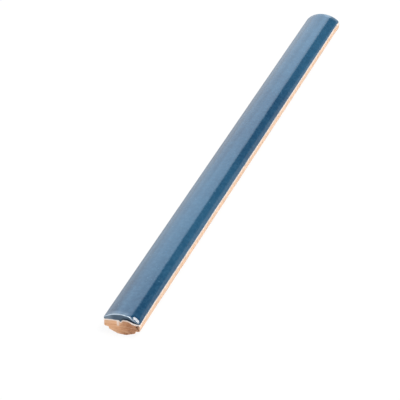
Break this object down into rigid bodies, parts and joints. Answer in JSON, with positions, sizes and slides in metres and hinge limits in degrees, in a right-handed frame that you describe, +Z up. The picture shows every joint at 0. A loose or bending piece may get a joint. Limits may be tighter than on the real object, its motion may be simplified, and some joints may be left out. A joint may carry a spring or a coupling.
{
  "type": "pencil liner tile",
  "caption": "Long narrow ceramic trim strip with a domed blue glazed face, bare clay sides and a rebated foot, set as a raised line between tiles.",
  "frame": {"origin": "middle of the flat bed face under the foot", "axes": "+X along the strip, away from the end that the picture shows close up; +Y across the width; +Z up, out of the glazed face"},
  "size_m": [0.206, 0.0116, 0.0072],
  "materials": {
    "glaze": "gloss blue glaze",
    "clay": "bare fired clay, fine sandy grain"
  },
  "bodies": {
    "root": {"liner": "glaze"}
  },
  "joints": []
}
